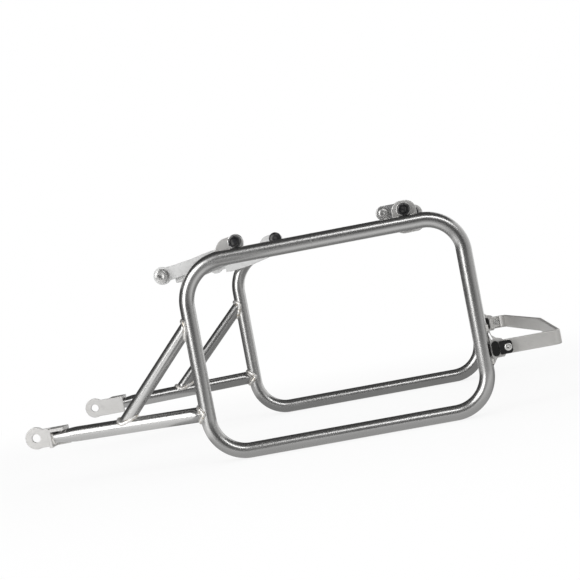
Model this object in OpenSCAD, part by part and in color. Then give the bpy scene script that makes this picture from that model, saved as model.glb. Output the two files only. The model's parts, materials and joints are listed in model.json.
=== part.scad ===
// Pannier frame: two tube hoops with stays, mounting brackets and a rear cross strap.
// Sizes are in millimetres. The rear of the motorbike is +X, its right side +Y, up +Z.
// Each side is drawn once, from the front leg of its hoop, and mirrored for the other side.

/* [Hoop] */
// Outside diameter of the hoop tube
tube_d = 18; // [14:0.5:25]
// Wall thickness of every tube
wall = 2; // [1:0.25:3]
// Distance between the front and rear leg axes
hoop_length = 328; // [240:1:420]
// Distance between the lower and upper run axes
hoop_height = 226; // [160:1:300]
// Centre line radius of the upper front bend
front_top_bend = 50; // [30:1:80]
// Centre line radius of the other three bends
bend = 43; // [30:1:80]
// Distance between the two hoop planes
rack_width = 520; // [400:5:700]
// Diameter of the drain holes under the lower run
drain_d = 4; // [2:0.5:6]
// Distance of each drain hole from the leg next to it
drain_inset = 75; // [60:1:140]

/* [Stays] */
// Height of the lower stay axis above the lower run axis
stay_rise = 51; // [45:1:90]
// How far the lower stay reaches ahead of the front leg
stay_reach = 199; // [120:1:260]
// How far the lower stay moves inboard over its reach
stay_inset = 60; // [0:1:90]
// Length of the squeezed end of the lower stay
squeeze_length = 7; // [6:1:20]
// Height of the squeezed end of the lower stay
squeeze_height = 13; // [8:0.5:16]
// Diameter of the diagonal stay
diagonal_d = 16; // [12:0.5:18]
// Height of the diagonal stay on the front leg above the lower run axis
diagonal_rise = 160; // [100:1:180]
// How far ahead of the front leg the diagonal stay lands on the lower stay
diagonal_reach = 108; // [60:1:160]
// Gap left at a coped tube end
weld_gap = 0.05; // [0.02:0.01:0.2]
// Size of the weld bead around a tube end
bead = 3; // [2:0.25:5]

/* [Foot brackets] */
// Sheet thickness of the brackets
sheet = 4; // [3:0.5:6]
// Height of the end flange below the lower stay axis
foot_below = 11; // [6:0.5:14]
// Height of the end flange above the lower stay axis
foot_above = 11.5; // [10:0.5:26]
// How far the end flange stands outboard of the stay axis
foot_outboard = 14; // [12:0.5:22]
// How far the eye plate stands inboard of the stay axis
foot_inboard = 14; // [12:0.5:22]
// Length of the folded top flange
foot_lip = 16.5; // [12:1:30]
// Diameter of the small hole in the top flange
lip_hole_d = 5; // [3:0.5:7]
// Height of the foot bolt above the lower stay axis
foot_bolt_rise = 1.5; // [0:0.5:8]
// Distance from the end flange to the foot bolt
foot_bolt_ahead = 21; // [12:0.5:24]
// Radius of the round eye around the foot bolt
foot_eye_r = 13.5; // [10:0.5:16]
// Diameter of the foot bolt hole
foot_hole_d = 10.5; // [8:0.5:12]

/* [Top lugs] */
// Height of the front lug above the upper run axis
front_lug_above = 22.5; // [21:0.5:28]
// Width of the rear lug
rear_lug_width = 29; // [24:0.5:34]
// Height of the rear lug above the upper run axis
rear_lug_above = 26.5; // [24:0.5:30]
// Height of the rear lug below the upper run axis
rear_lug_below = 11.5; // [9:0.5:20]
// Corner radius of the rear lug
lug_corner = 12; // [6:0.5:12]
// Depth of the seat that the tube leaves in a welded plate
seat_depth = 0.5; // [0.2:0.1:1.5]
// Distance of the front lug from the front leg axis
front_lug_x = 68; // [50:1:110]
// Distance of the rear lug from the front leg axis
rear_lug_x = 268; // [200:1:280]
// Height of the lug bolts above the upper run axis
lug_bolt_rise = 16; // [16:0.5:20]

/* [Upper brackets] */
// How far the front frame bolt sits ahead of the front leg axis
front_bolt_ahead = 24; // [16:0.5:30]
// How far the front frame bolt sits below the upper run axis
front_bolt_drop = 7.5; // [0:0.5:14]
// Radius of the front bracket's eye around the frame bolt
bracket_end_r = 10.5; // [9:0.5:13]
// Half height of the link behind the rear lug
link_end_r = 8.5; // [7.5:0.5:11]
// How far the rear frame screw sits ahead of the rear lug bolt
rear_screw_ahead = 24; // [22:0.5:40]
// Thickness of the doubling plate behind the front bracket
doubler_t = 3; // [2:0.5:5]

/* [Rear brackets] */
// Height of the strap axis above the lower run axis
strap_rise = 65; // [58:1:90]
// Lower end of the rear bracket on the leg, above the lower run axis
gusset_bottom = 46; // [44:1:56]
// Upper end of the rear bracket on the leg, above the lower run axis
gusset_top = 96; // [80:1:120]
// Height of the rear bracket tab
tab_height = 21.5; // [20:0.5:30]
// Reach of the rear bracket tab behind the leg axis
tab_reach = 25; // [24:0.5:34]
// Reach of the strap bolt behind the leg axis
strap_bolt_reach = 29; // [28:0.5:44]
// Reach of the rubber stop behind the leg axis
stop_reach = 14.5; // [14:0.25:17]
// Width of the rubber stop
stop_width = 8.5; // [6:0.5:9]
// Height of the rubber stop
stop_height = 17.5; // [12:0.5:20]
// How far the rubber stop stands proud of the bracket
stop_proud = 5; // [3:0.5:8]

/* [Cross strap] */
// Height of the strap bar
strap_height = 17; // [14:0.5:24]
// Thickness of the strap bar
strap_t = 4; // [3:0.5:6]
// Reach of the cross bar behind the rear legs
strap_reach = 91.5; // [70:1:140]
// Bend radius at the middle of the strap thickness
strap_bend = 10; // [8:0.5:30]
// Distance of the middle bend from the left hoop plane
strap_cross = 285; // [200:1:320]
// How far the middle bend lies ahead of the rear corner
strap_fall = 8; // [0:0.5:20]
// Bar end ahead of the strap bolt
strap_end = 9; // [8:0.5:12]
// Straight seat behind the right strap bolt
seat_run = 12; // [10:0.5:20]
// Thickness of the strap pads
pad_t = 6; // [3:0.5:10]

/* [Fasteners] */
// Diameter of the lug bolts and the front frame screws
m8 = 8; // [6:0.5:10]
// Diameter of the rear frame screws
m6 = 6; // [5:0.5:8]
// Diameter of the strap screws
m5 = 5; // [4:0.5:6]
// Clearance of a bolt in its hole, on the diameter
bolt_clearance = 0.5; // [0.2:0.1:1]
// Clearance of a bolt in its nut, on the diameter
nut_clearance = 0.1; // [0.05:0.05:0.3]
// Thickness of the large washers
washer_t = 1.5; // [1:0.25:3]
// Diameter of the washers under the frame screws
frame_washer_d = 17; // [15:0.5:20]
// Diameter of the washers under the lug nuts
lug_washer_d = 17; // [16:0.5:24]
// Threaded length of the screws that enter the motorbike frame
frame_thread = 16; // [10:1:30]
// Length of the undercut between shank and thread
undercut = 1.5; // [1:0.25:3]

/* [Hidden] */
$fn = 64;
tube_r = tube_d / 2;
low_z = tube_r;
high_z = low_z + hoop_height;
stay_z = low_z + stay_rise;
stay_turn = atan2(stay_inset, stay_reach);
squeeze_spread = (PI * tube_d - PI * squeeze_height) / 4;
squeeze_taper = 26;
squeeze_at = stay_reach / cos(stay_turn) - squeeze_length;
taper_at = squeeze_at - squeeze_taper;
stay_end = squeeze_at + 30;
diagonal_along = diagonal_reach / cos(stay_turn);
diagonal_up = diagonal_rise - stay_rise;
diagonal_lean = atan2(diagonal_along, diagonal_up);
diagonal_length = norm([diagonal_along, diagonal_up]);
foot_x = -stay_reach - sheet;
foot_bolt_z = stay_z + foot_bolt_rise;
foot_front = stay_reach + sheet + foot_bolt_ahead + foot_eye_r;
foot_plate_y = stay_inset + foot_inboard;
front_leg_x = (foot_front - hoop_length - strap_reach) / 2;
lug_y = tube_r - seat_depth;
bracket_y = lug_y + sheet;
lug_bolt_z = high_z + lug_bolt_rise;
front_bolt_z = high_z - front_bolt_drop;
front_end_x = -front_bolt_ahead;
rear_screw_x = rear_lug_x - rear_screw_ahead;
strap_z = low_z + strap_rise;
strap_bolt_x = hoop_length + strap_bolt_reach;
tongue_half = 7.2;
tongue_end = 4.2;
pad_half = 7.7;
pad_end = 5;
strap_y = sheet / 2;
pad_y = -sheet / 2 - pad_t;
near_y = strap_y + strap_t / 2;
far_y = rack_width - near_y;
cross_x = hoop_length + strap_reach - strap_t / 2;
strap_path = [[strap_bolt_x - strap_end, near_y], [cross_x, near_y], [cross_x - strap_fall, strap_cross],
  [strap_bolt_x + seat_run, far_y], [strap_bolt_x - strap_end, far_y]];
bend_steps = 18;
m8_hole = m8 + bolt_clearance;
m6_hole = m6 + bolt_clearance;
m5_hole = m5 + bolt_clearance;
flange_d = 2.2 * m8;
nut_across = 1.625 * m8;
nut_h = m8;
lug_washer_t = 1.6;
cap_ratio = 1.63;
press_nut_d = 8;

// Places a left side shape, measured from the front leg axis, y running inboard.
module left() translate([front_leg_x, -rack_width / 2, 0]) children();

// Places the same shape on the right side.
module right() mirror([0, 1, 0]) left() children();

// Shape drawn in X and Z, its thickness running inboard from y.
module plate(y, t) translate([0, y + t, 0]) rotate([90, 0, 0]) linear_extrude(t) children();

// Round bar along Y from y to y + length.
module pin_y(x, y, z, d, length) translate([x, y, z]) rotate([-90, 0, 0]) cylinder(d = d, h = length);

// Hexagon along Y with a given width across flats.
module hex_y(x, y, z, across, length)
  translate([x, y, z]) rotate([-90, 0, 0]) cylinder(d = across / cos(30), h = length, $fn = 6);

// Annular tube section.
module ring(r) difference() {
  circle(r);
  circle(r - wall);
}

// Straight hollow run from one point, turned about Y.
module run(x, z, turn, length) translate([x, 0, z]) rotate([0, turn, 0]) linear_extrude(length) ring(tube_r);

// Quarter bend about a centre in the hoop plane.
module quarter(x, z, r, start)
  translate([x, 0, z]) rotate([90, 0, 0]) rotate([0, 0, start])
    rotate_extrude(angle = 90) translate([r, 0]) ring(tube_r);

module loop_tube() difference() {
  union() {
    run(bend, low_z, 90, hoop_length - 2 * bend);
    run(front_top_bend, high_z, 90, hoop_length - front_top_bend - bend);
    run(0, low_z + bend, 0, hoop_height - bend - front_top_bend);
    run(hoop_length, low_z + bend, 0, hoop_height - 2 * bend);
    quarter(front_top_bend, high_z - front_top_bend, front_top_bend, 90);
    quarter(hoop_length - bend, high_z - bend, bend, 0);
    quarter(bend, low_z + bend, bend, 180);
    quarter(hoop_length - bend, low_z + bend, bend, 270);
  }
  for (x = [drain_inset, hoop_length - drain_inset])
    translate([x, 0, -1]) cylinder(d = drain_d, h = low_z);
}

// Solid cylinder filling the front leg, grown by a margin.
module leg_core(grow = 0)
  translate([0, 0, low_z + bend - 20]) cylinder(r = tube_r + grow, h = hoop_height - 2 * bend + 30);

// Solid cylinder filling the upper run, grown by a margin.
module top_core(grow = 0)
  translate([front_top_bend - 40, 0, high_z]) rotate([0, 90, 0]) cylinder(r = tube_r + grow, h = hoop_length);

// Solid cylinder filling the rear leg, grown by a margin.
module rear_core(grow = 0)
  translate([hoop_length, 0, 0]) cylinder(r = tube_r + grow, h = hoop_height);

// Turns a stay from the hoop plane towards the motorbike.
module stay_plane() rotate([0, 0, -stay_turn]) children();

// One round-ended outline of the squeezed stay end.
module squeezed(r, spread) {
  square([2 * r, 2 * spread], center = true);
  for (side = [-1, 1]) translate([0, side * spread]) circle(r);
}

// Stay bar with a squeezed end, its surfaces moved inwards by inset.
module stay_bar(inset) {
  r = tube_r - inset;
  half = squeeze_height / 2 - inset;
  wide = half + squeeze_spread;
  fall = 4 * (r - half) / squeeze_taper;
  translate([0, 0, stay_z]) {
    intersection() {
      rotate([0, -90, 0]) cylinder(r = r, h = stay_end);
      rotate([90, 0, 0]) linear_extrude(4 * tube_d, center = true)
        polygon([[1, r + fall], [4 - taper_at, r + fall], [-squeeze_at, half], [-stay_end - 1, half],
          [-stay_end - 1, -half], [-squeeze_at, -half], [4 - taper_at, -r - fall], [1, -r - fall]]);
    }
    intersection() {
      rotate([0, -90, 0]) linear_extrude(stay_end) squeezed(half, squeeze_spread);
      linear_extrude(tube_d, center = true)
        polygon([[-taper_at, r - 0.5], [-squeeze_at, wide + 1], [-stay_end - 1, wide + 1],
          [-stay_end - 1, -wide - 1], [-squeeze_at, -wide - 1], [-taper_at, 0.5 - r]]);
    }
  }
}

module lower_stay() difference() {
  stay_plane() difference() {
    stay_bar(0);
    stay_bar(wall);
    leg_core(weld_gap);
  }
  translate([-stay_reach - 60, -50, 0]) cube([60, 150, 200]);
}

// Solid bar along the diagonal stay axis.
module diagonal_bar(r)
  translate([-diagonal_along, 0, stay_z]) rotate([0, diagonal_lean, 0]) cylinder(r = r, h = diagonal_length);

// Solid cylinder filling the lower stay, grown by a margin.
module stay_core(grow = 0)
  translate([0, 0, stay_z]) rotate([0, -90, 0]) cylinder(r = tube_r + grow, h = stay_reach - 30);

module diagonal_stay() stay_plane() difference() {
  diagonal_bar(diagonal_d / 2);
  diagonal_bar(diagonal_d / 2 - wall);
  leg_core(weld_gap);
  stay_core(weld_gap);
}

module foot_bracket() {
  base = stay_z - foot_below;
  tall = foot_below + foot_above;
  outer = stay_inset - foot_outboard;
  difference() {
    union() {
      translate([foot_x, outer, base]) cube([sheet, foot_plate_y + sheet - outer, tall]);
      translate([foot_x, outer, base + tall - sheet]) cube([sheet + foot_lip, foot_plate_y + sheet - outer, sheet]);
      plate(foot_plate_y, sheet) {
        translate([foot_x - foot_bolt_ahead, foot_bolt_z]) circle(foot_eye_r);
        translate([foot_x - foot_bolt_ahead, base]) square([foot_bolt_ahead + sheet, tall]);
        translate([foot_x, base]) square([sheet + foot_lip, tall]);
      }
    }
    pin_y(foot_x - foot_bolt_ahead, foot_plate_y - 1, foot_bolt_z, foot_hole_d, sheet + 2);
    translate([foot_x + sheet + foot_lip - 6, outer + 8, base]) cylinder(d = lip_hole_d, h = tall + 1);
  }
}

// Outline of the front lug and of the bracket end behind it.
module front_lug_outline() {
  top = front_lug_above;
  translate([front_lug_x, high_z]) polygon([[-25, 8], [-24.5, 11], [-22, 15.5], [-19, 19], [-16, 20.8], [-12, top - 0.5],
    [-7, top], [3, top], [6.5, top - 2], [9, 17.5], [9.6, 14.5], [9, 11], [6, 4], [0, -5], [-18, -6], [-24, 0]]);
}

// Lug plate cut to the upper run it is welded to, with its bolt hole.
module lug(x) difference() {
  plate(lug_y, sheet) difference() {
    children();
    translate([x, lug_bolt_z]) circle(d = m8_hole);
  }
  top_core();
}

module front_lug() lug(front_lug_x) front_lug_outline();

module rear_lug() lug(rear_lug_x) rounded(rear_lug_x - rear_lug_width / 2, high_z - rear_lug_below,
  rear_lug_width, rear_lug_below + rear_lug_above, lug_corner);

// Rectangle with round corners, from its lower front corner.
module rounded(x, z, width, height, r) translate([x, z]) {
  translate([r, 0]) square([width - 2 * r, height]);
  translate([0, r]) square([width, height - 2 * r]);
  for (u = [r, width - r], v = [r, height - r]) translate([u, v]) circle(r);
}

// Side outline of the front bracket, from its eye to the lug bolt.
module front_outline() {
  translate([front_end_x, front_bolt_z]) circle(bracket_end_r);
  polygon([[front_end_x - 1, front_bolt_z + 9], [-9, high_z + 2.5], [14, high_z + 6], [33, high_z + 10],
    [front_lug_x - 24, high_z + 11.5], [front_lug_x - 10, high_z - 3], [0, high_z - 12], [front_end_x, front_bolt_z - 8]]);
  front_lug_outline();
}

// Outline of the doubling plate under the front bracket.
module doubler_outline()
  polygon([[-10, high_z - 10], [-10, high_z - 18.5], [-2, high_z - 19], [24, high_z - 16],
    [front_lug_x - 14, high_z - tube_r - 0.5], [front_lug_x - 8, high_z - 5], [front_lug_x - 20, high_z + 2], [8, high_z - 4]]);

module front_bracket() difference() {
  union() {
    plate(bracket_y, sheet) front_outline();
    plate(bracket_y + sheet - 0.5, doubler_t + 0.5) doubler_outline();
  }
  pin_y(front_end_x, bracket_y - 1, front_bolt_z, m8_hole, sheet + 2);
  pin_y(front_lug_x, bracket_y - 1, lug_bolt_z, m8_hole, sheet + 2);
}

module rear_link() plate(bracket_y, sheet) difference() {
  union() {
    for (x = [rear_screw_x, rear_lug_x]) translate([x, lug_bolt_z]) circle(link_end_r);
    translate([rear_screw_x, lug_bolt_z - link_end_r]) square([rear_screw_ahead, 2 * link_end_r]);
  }
  translate([rear_screw_x, lug_bolt_z]) circle(d = m6_hole);
  translate([rear_lug_x, lug_bolt_z]) circle(d = m8_hole);
}

// Outline of the rear bracket before the leg is taken away.
module gusset_outline() {
  x = hoop_length;
  half = tab_height / 2;
  polygon([[x, low_z + gusset_bottom - 7], [x + tube_r, low_z + gusset_bottom], [x + 15, strap_z - half],
    [x + tab_reach - 2, strap_z - half], [x + tab_reach, strap_z - half + 2], [x + tab_reach, strap_z + half - 2],
    [x + tab_reach - 2, strap_z + half], [x + 17, strap_z + half + 1.5], [x + 12.5, strap_z + half + 5.5],
    [x + tube_r + 0.5, low_z + gusset_top], [x, low_z + gusset_top]]);
  rounded(x + tab_reach - 8, strap_z - tongue_half, strap_bolt_reach - tab_reach + 8 + tongue_end, 2 * tongue_half, 3);
}

// Outline of the rubber stop, shrunk or grown by a margin.
module stop_outline(grow = 0) {
  r = stop_width / 2 + grow;
  half = (stop_height - stop_width) / 2;
  translate([hoop_length + stop_reach, strap_z]) {
    square([2 * r, 2 * half], center = true);
    for (side = [-1, 1]) translate([0, side * half]) circle(r);
  }
}

// Slot beside the leg between the two weld runs.
module relief_slot() translate([hoop_length + 11, strap_z + 15]) rotate(19) {
  square([2, 7], center = true);
  for (side = [-1, 1]) translate([0, side * 3.5]) circle(1);
}

module gusset() difference() {
  plate(-sheet / 2, sheet) difference() {
    gusset_outline();
    stop_outline(-1);
    relief_slot();
    translate([strap_bolt_x, strap_z]) circle(d = m5_hole);
  }
  rear_core();
}

module rubber_stop() {
  plate(-sheet / 2, sheet) stop_outline(-1);
  plate(-sheet / 2 - stop_proud, stop_proud) stop_outline();
  plate(sheet / 2, 1.5) stop_outline();
}

module strap_pad() plate(pad_y, pad_t) difference() {
  union() {
    rounded(strap_bolt_x - 9.7, strap_z - pad_half, 11, 2 * pad_half, 1.5);
    rounded(strap_bolt_x - 6, strap_z - pad_half, 6 + pad_end, 2 * pad_half, 4);
  }
  translate([strap_bolt_x, strap_z]) circle(d = m5_hole);
}

// Beads above and below a lug's seat on the upper run, clear of the nut.
module lug_beads(x, from, to) difference() {
  for (side = [-1, 1]) translate([from, lug_y - 0.6, high_z + side * 6.2])
    rotate([0, 90, 0]) cylinder(r = bead - 0.5, h = to - from);
  top_core();
  translate([from - 1, lug_y, high_z - tube_d]) cube([to - from + 2, sheet, 2 * tube_d]);
  pin_y(x, 0, lug_bolt_z, lug_washer_d + 0.6, lug_y + 1);
}

// Beads on both faces of the rear bracket along the leg, below the stop and above the slot.
module gusset_beads() difference() {
  for (side = [-1, 1], run = [[low_z + gusset_bottom + 2, strap_z - stop_height / 2 - 1], [strap_z + 21, low_z + gusset_top - 1.5]])
    translate([hoop_length + tube_r - 0.4, side * (sheet / 2 + 1), run[0]]) cylinder(r = bead - 0.5, h = run[1] - run[0]);
  rear_core();
  translate([hoop_length, -sheet / 2, 0]) cube([tube_d, sheet, hoop_height]);
}

// Squeezed end of the lower stay as a straight bar.
module squeezed_bar() stay_plane() translate([0, 0, stay_z]) rotate([0, -90, 0])
  linear_extrude(stay_end) squeezed(squeeze_height / 2, squeeze_spread);

// Bead around the squeezed end on the foot bracket.
module foot_bead() difference() {
  translate([-stay_reach, stay_inset, stay_z]) rotate([0, 90, 0])
    linear_extrude(bead - 0.5) squeezed(squeeze_height / 2 + 2, squeeze_spread + 0.5);
  squeezed_bar();
  foot_bracket();
}

// Filler rings and fillets where tubes and plates meet.
module weld_beads() {
  lug_beads(front_lug_x, front_lug_x - 20, front_lug_x + 4);
  lug_beads(rear_lug_x, rear_lug_x - 9, rear_lug_x + 9);
  gusset_beads();
  foot_bead();
  stay_plane() {
    difference() {
      intersection() {
        stay_core(bead);
        leg_core(bead);
      }
      stay_core();
      leg_core();
    }
    difference() {
      intersection() {
        diagonal_bar(diagonal_d / 2 + bead);
        leg_core(bead);
      }
      diagonal_bar(diagonal_d / 2);
      leg_core();
    }
    difference() {
      intersection() {
        diagonal_bar(diagonal_d / 2 + bead);
        stay_core(bead);
      }
      diagonal_bar(diagonal_d / 2);
      stay_core();
    }
  }
}

// Flanged hexagon bolt along Y, its head at the inboard side.
module lug_bolt(x) {
  face = bracket_y + sheet;
  tip = lug_y - lug_washer_t - nut_h - 2;
  pin_y(x, tip, lug_bolt_z, m8, face - tip);
  pin_y(x, face, lug_bolt_z, flange_d, 1.6);
  hex_y(x, face + 1.6, lug_bolt_z, nut_across, 0.7 * m8);
}

module lug_bolts() for (x = [front_lug_x, rear_lug_x]) lug_bolt(x);

module lug_washers() for (x = [front_lug_x, rear_lug_x])
  washer(x, lug_y - lug_washer_t, lug_bolt_z, lug_washer_d, m8_hole, lug_washer_t);

// Hexagon nuts on the outboard face of the lug washers.
module lug_nuts() for (x = [front_lug_x, rear_lug_x]) difference() {
  hex_y(x, lug_y - lug_washer_t - nut_h, lug_bolt_z, nut_across, nut_h);
  pin_y(x, lug_y - lug_washer_t - nut_h - 1, lug_bolt_z, m8 + nut_clearance, nut_h + 2);
}

// Flat ring along Y from y to y + t.
module washer(x, y, z, d, hole, t) difference() {
  pin_y(x, y, z, d, t);
  pin_y(x, y - 1, z, hole, t + 2);
}

// Screw shank from y, an undercut after the clamped length, then the thread.
module shank(x, y, z, d, clamped, thread) {
  pin_y(x, y, z, d, clamped);
  pin_y(x, y + clamped, z, d - 1.2, undercut);
  pin_y(x, y + clamped + undercut, z, d, thread);
}

// Hexagon socket in a head that starts at face.
module socket(x, face, z, across, depth) hex_y(x, face - 0.01, z, across, depth);

// Cylinder head screw, its head outboard of y.
module cap_screw(x, y, z, d, clamped, thread) {
  difference() {
    pin_y(x, y - d, z, cap_ratio * d, d);
    socket(x, y - d, z, 0.8 * d, 0.5 * d);
  }
  shank(x, y, z, d, clamped, thread);
}

// Domed head outboard of y.
module button(x, y, z, d) translate([x, y, z]) rotate([90, 0, 0]) cylinder(d1 = 1.85 * d, d2 = 1.15 * d, h = 0.55 * d);

// Button head screw, its head outboard of y.
module button_screw(x, y, z, d, clamped, thread) {
  difference() {
    button(x, y, z, d);
    socket(x, y - 0.55 * d, z, 0.65 * d, 0.35 * d);
  }
  shank(x, y, z, d, clamped, thread);
}

module front_screw() cap_screw(front_end_x, bracket_y - washer_t, front_bolt_z, m8, washer_t + sheet, frame_thread);

module rear_screw() button_screw(rear_screw_x, bracket_y - washer_t, lug_bolt_z, m6, washer_t + sheet, frame_thread);

module frame_washers() {
  washer(front_end_x, bracket_y - washer_t, front_bolt_z, frame_washer_d, m8_hole, washer_t);
  washer(rear_screw_x, bracket_y - washer_t, lug_bolt_z, frame_washer_d - 1, m6_hole, washer_t);
}

module strap_screw() {
  high = 0.55 * m5;
  difference() {
    button(strap_bolt_x, pad_y, strap_z, m5);
    socket(strap_bolt_x, pad_y - high, strap_z, 0.65 * m5, 0.35 * m5);
  }
  pin_y(strap_bolt_x, pad_y, strap_z, m5, pad_t + sheet + strap_t);
}

// Press nut, flush in the strap.
module strap_nut() difference() {
  pin_y(strap_bolt_x, strap_y, strap_z, press_nut_d, strap_t);
  pin_y(strap_bolt_x, strap_y - 1, strap_z, m5 + nut_clearance, strap_t + 2);
}

// Points along an arc about a centre.
function arc(at, r, start, sweep) =
  [for (i = [0:bend_steps]) at + r * [cos(start + sweep * i / bend_steps), sin(start + sweep * i / bend_steps)]];

// Direction of the strap's straight part after a corner.
function heading(i) = atan2(strap_path[i + 1][1] - strap_path[i][1], strap_path[i + 1][0] - strap_path[i][0]);

// Arc that rounds one corner of the strap, at a distance outside its middle line.
function corner_arc(i, side) = let(h = heading(i - 1), sweep = heading(i) - h)
  arc(strap_path[i] - strap_bend * tan(sweep / 2) * [cos(h), sin(h)] + strap_bend * [-sin(h), cos(h)],
    strap_bend + side, h - 90, sweep);

// One edge of the strap in plan, at a distance outside its middle line.
function strap_edge(side) = concat(
  [strap_path[0] - [0, side]],
  [for (i = [1:3]) each corner_arc(i, side)],
  [strap_path[4] + [0, side]]);

function backwards(list) = [for (i = [len(list) - 1:-1:0]) list[i]];

module strap_bar() translate([0, 0, strap_z - strap_height / 2]) linear_extrude(strap_height)
  polygon(concat(strap_edge(strap_t / 2), backwards(strap_edge(-strap_t / 2))));

module rear_strap() color("silver") left() difference() {
  strap_bar();
  pin_y(strap_bolt_x, strap_y - 1, strap_z, press_nut_d + nut_clearance, strap_t + 2);
  pin_y(strap_bolt_x, rack_width - strap_y - strap_t - 1, strap_z, press_nut_d + nut_clearance, strap_t + 2);
}

module left_loop_tube() color("silver") left() loop_tube();
module right_loop_tube() color("silver") right() loop_tube();
module left_lower_stay() color("silver") left() lower_stay();
module right_lower_stay() color("silver") right() lower_stay();
module left_diagonal_stay() color("silver") left() diagonal_stay();
module right_diagonal_stay() color("silver") right() diagonal_stay();
module left_foot_bracket() color("lightgray") left() foot_bracket();
module right_foot_bracket() color("lightgray") right() foot_bracket();
module left_front_lug() color("lightgray") left() front_lug();
module right_front_lug() color("lightgray") right() front_lug();
module left_rear_lug() color("lightgray") left() rear_lug();
module right_rear_lug() color("lightgray") right() rear_lug();
module left_front_bracket() color("gainsboro") left() front_bracket();
module right_front_bracket() color("gainsboro") right() front_bracket();
module left_rear_link() color("gray") left() rear_link();
module right_rear_link() color("gray") right() rear_link();
module left_gusset() color("lightgray") left() gusset();
module right_gusset() color("lightgray") right() gusset();
module left_rubber_stop() color("black") left() rubber_stop();
module right_rubber_stop() color("black") right() rubber_stop();
module left_strap_pad() color("black") left() strap_pad();
module right_strap_pad() color("black") right() strap_pad();
module left_weld_beads() color("white") left() weld_beads();
module right_weld_beads() color("white") right() weld_beads();
module left_lug_bolts() color("dimgray") left() lug_bolts();
module right_lug_bolts() color("dimgray") right() lug_bolts();
module left_lug_nuts() color("dimgray") left() lug_nuts();
module right_lug_nuts() color("dimgray") right() lug_nuts();
module left_front_screw() color("silver") left() front_screw();
module right_front_screw() color("silver") right() front_screw();
module left_frame_washers() color("silver") left() frame_washers();
module left_lug_washers() color("silver") left() lug_washers();
module right_frame_washers() color("silver") right() frame_washers();
module right_lug_washers() color("silver") right() lug_washers();
module left_rear_screw() color("silver") left() rear_screw();
module right_rear_screw() color("silver") right() rear_screw();
module left_strap_screw() color("silver") left() strap_screw();
module right_strap_screw() color("silver") right() strap_screw();
module left_strap_nut() color("silver") left() strap_nut();
module right_strap_nut() color("silver") right() strap_nut();

left_loop_tube();
right_loop_tube();
left_lower_stay();
right_lower_stay();
left_diagonal_stay();
right_diagonal_stay();
left_foot_bracket();
right_foot_bracket();
left_front_lug();
right_front_lug();
left_rear_lug();
right_rear_lug();
left_front_bracket();
right_front_bracket();
left_rear_link();
right_rear_link();
left_gusset();
right_gusset();
left_rubber_stop();
right_rubber_stop();
left_strap_pad();
right_strap_pad();
left_weld_beads();
right_weld_beads();
left_lug_bolts();
right_lug_bolts();
left_lug_nuts();
right_lug_nuts();
left_front_screw();
right_front_screw();
left_frame_washers();
left_lug_washers();
right_frame_washers();
right_lug_washers();
left_rear_screw();
right_rear_screw();
left_strap_screw();
right_strap_screw();
left_strap_nut();
right_strap_nut();
rear_strap();
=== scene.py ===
import bpy
import bmesh
import json
import math
import numpy as np
from mathutils import Matrix, Vector


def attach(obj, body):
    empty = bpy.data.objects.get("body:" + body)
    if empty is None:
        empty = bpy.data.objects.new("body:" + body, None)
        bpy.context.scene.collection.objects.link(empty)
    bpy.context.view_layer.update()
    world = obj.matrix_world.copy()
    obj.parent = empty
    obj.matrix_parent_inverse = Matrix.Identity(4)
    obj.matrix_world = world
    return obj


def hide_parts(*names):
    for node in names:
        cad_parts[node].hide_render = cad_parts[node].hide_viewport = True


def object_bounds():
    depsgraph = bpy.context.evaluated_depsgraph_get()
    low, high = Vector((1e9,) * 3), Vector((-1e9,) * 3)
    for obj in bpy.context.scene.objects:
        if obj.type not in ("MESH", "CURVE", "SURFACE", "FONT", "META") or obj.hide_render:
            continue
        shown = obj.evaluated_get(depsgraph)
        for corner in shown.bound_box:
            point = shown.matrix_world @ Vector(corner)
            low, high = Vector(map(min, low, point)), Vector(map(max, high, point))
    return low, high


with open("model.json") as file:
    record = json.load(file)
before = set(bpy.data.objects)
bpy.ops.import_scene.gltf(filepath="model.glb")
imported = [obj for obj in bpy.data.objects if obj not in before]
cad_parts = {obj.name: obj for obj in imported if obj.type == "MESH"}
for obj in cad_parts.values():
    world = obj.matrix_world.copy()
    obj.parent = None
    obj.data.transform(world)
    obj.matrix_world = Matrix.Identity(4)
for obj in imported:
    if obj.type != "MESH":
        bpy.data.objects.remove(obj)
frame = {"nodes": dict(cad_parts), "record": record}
cadLow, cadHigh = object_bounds()
print("frame loaded")

# Camera, fitted to the edges of the two hoops in the photograph
cameraLook = {"place": (0.22575, -2.3601, 0.2244), "forward": (-0.09235, 0.99554, -0.01924),
              "right": (0.97858, 0.08717, -0.18651), "lens": 112.89, "sensor": 36.0}


def addCamera(look):
    back = -Vector(look["forward"]).normalized()
    right = Vector(look["right"]).normalized()
    up = back.cross(right)
    data = bpy.data.cameras.new("photoCamera")
    data.lens = look["lens"]
    data.sensor_width = look["sensor"]
    camera = bpy.data.objects.new("photoCamera", data)
    turn = Matrix((right, up, back)).transposed().to_4x4()
    camera.matrix_world = Matrix.Translation(look["place"]) @ turn
    bpy.context.collection.objects.link(camera)
    bpy.context.scene.camera = camera


addCamera(cameraLook)
print("camera placed")


# Wraps a shader socket, so that sums and products on it add their Math nodes
class Wire:

    def __init__(self, tree, socket):
        self.tree, self.socket = tree, socket

    def math(self, kind, *others):
        node = self.tree.nodes.new("ShaderNodeMath")
        node.operation = kind
        for place, value in enumerate((self,) + others):
            plug(self.tree, node.inputs[place], value)
        return Wire(self.tree, node.outputs[0])

    def __add__(self, other):
        return self.math("ADD", other)

    def __radd__(self, other):
        return self.math("ADD", other)

    def __mul__(self, other):
        return self.math("MULTIPLY", other)

    def __rmul__(self, other):
        return self.math("MULTIPLY", other)


# Links a wire to a socket, or sets the socket to a plain value
def plug(tree, socket, value):
    if isinstance(value, Wire):
        tree.links.new(value.socket, socket)
    else:
        socket.default_value = value


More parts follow.
